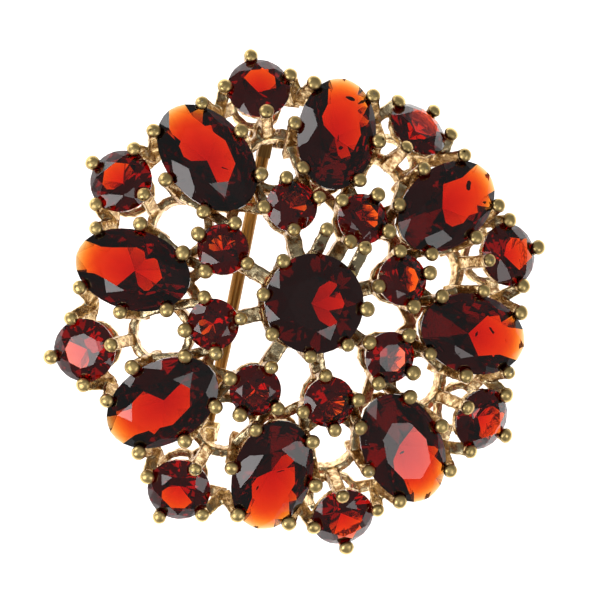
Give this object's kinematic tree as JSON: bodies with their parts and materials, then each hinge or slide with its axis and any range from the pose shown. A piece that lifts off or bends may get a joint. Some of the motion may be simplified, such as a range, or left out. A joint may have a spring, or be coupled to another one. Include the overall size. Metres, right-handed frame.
{
  "type": "garnet cluster brooch",
  "caption": "Domed openwork brooch of faceted garnets in claw settings on a gold frame, with a hinged pin and a catch on its back.",
  "frame": {"origin": "on the plane of the filed feet, under the middle of the brooch's outline", "axes": "+Z out of the front, through the centre garnet; +Y up when the brooch is worn; +X to the viewer's right"},
  "size_m": [0.031, 0.0308, 0.0091],
  "materials": {
    "gold": "cast yellow gold, polished on the beads, rougher in the recesses",
    "garnet": "polished facets"
  },
  "bodies": {
    "brooch": {"gold_frame": "gold", "hinge_rivet": "gold", "centre_stone": "garnet", "inner_stone_1": "garnet", "inner_stone_2": "garnet", "inner_stone_3": "garnet", "inner_stone_4": "garnet", "inner_stone_5": "garnet", "inner_stone_6": "garnet", "inner_stone_7": "garnet", "inner_stone_8": "garnet", "oval_stone_1": "garnet", "oval_stone_2": "garnet", "oval_stone_3": "garnet", "oval_stone_4": "garnet", "oval_stone_5": "garnet", "oval_stone_6": "garnet", "oval_stone_7": "garnet", "oval_stone_8": "garnet", "outer_stone_1": "garnet", "outer_stone_2": "garnet", "outer_stone_3": "garnet", "outer_stone_4": "garnet", "outer_stone_5": "garnet", "outer_stone_6": "garnet", "outer_stone_7": "garnet", "outer_stone_8": "garnet"},
    "pin": {"pin_stem": "gold"}
  },
  "joints": [
    {"name": "pin_hinge", "type": "hinge", "parent": "brooch", "child": "pin", "pos_m": [-0.00146, 0.01015, 0.00072], "axis": [0.9797, -0.2003, 0], "range_deg": [0, 75]}
  ]
}
